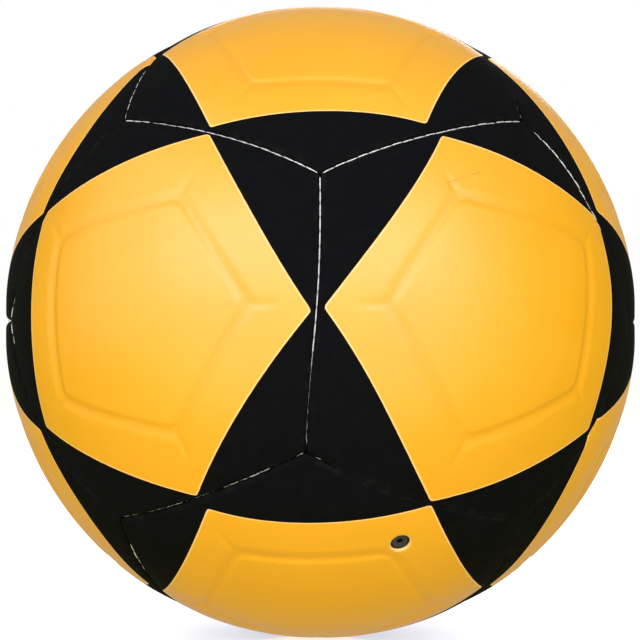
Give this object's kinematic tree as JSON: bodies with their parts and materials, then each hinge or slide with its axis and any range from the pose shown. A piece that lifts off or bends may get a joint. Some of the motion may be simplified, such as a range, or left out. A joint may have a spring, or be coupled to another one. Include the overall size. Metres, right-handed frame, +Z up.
{
  "type": "footvolley ball",
  "caption": "Inflated round footvolley ball with pentagonal padded panels stitched over a bladder, and a recessed needle valve.",
  "frame": {"origin": "centre of the ball", "axes": "+Z up as pictured, -Y towards the viewer, +X to the viewer's right; each axis passes through the middle of a seam"},
  "size_m": [0.22, 0.22, 0.22],
  "materials": {
    "cover": "satin synthetic leather, yellow with black corners",
    "foam": "matt closed-cell foam",
    "lining": "woven cloth",
    "bladder": "matt butyl rubber",
    "valve": "moulded rubber",
    "core": "soft moulded rubber",
    "thread": "waxed polyester thread"
  },
  "bodies": {
    "root": {"cover_front_left": "cover", "cover_front_right": "cover", "cover_back_left": "cover", "cover_back_right": "cover", "cover_top_front": "cover", "cover_top_back": "cover", "cover_bottom_front": "cover", "cover_bottom_back": "cover", "cover_left_top": "cover", "cover_left_bottom": "cover", "cover_right_top": "cover", "cover_right_bottom": "cover", "foam_front_left": "foam", "foam_front_right": "foam", "foam_back_left": "foam", "foam_back_right": "foam", "foam_top_front": "foam", "foam_top_back": "foam", "foam_bottom_front": "foam", "foam_bottom_back": "foam", "foam_left_top": "foam", "foam_left_bottom": "foam", "foam_right_top": "foam", "foam_right_bottom": "foam", "lining_front_left": "lining", "lining_front_right": "lining", "lining_back_left": "lining", "lining_back_right": "lining", "lining_top_front": "lining", "lining_top_back": "lining", "lining_bottom_front": "lining", "lining_bottom_back": "lining", "lining_left_top": "lining", "lining_left_bottom": "lining", "lining_right_top": "lining", "lining_right_bottom": "lining", "bladder": "bladder", "valve_body": "valve", "valve_core": "core", "thread_valve_cup_ring": "thread", "thread_valve_cup_side_1": "thread", "thread_valve_cup_side_2": "thread", "thread_valve_cup_side_3": "thread", "thread_valve_cup_side_4": "thread", "thread_valve_cup_side_5": "thread", "thread_far_cup_ring": "thread", "thread_far_cup_side_1": "thread", "thread_far_cup_side_2": "thread", "thread_far_cup_side_3": "thread", "thread_far_cup_side_4": "thread", "thread_far_cup_side_5": "thread", "thread_closing_seam": "thread"}
  },
  "joints": []
}
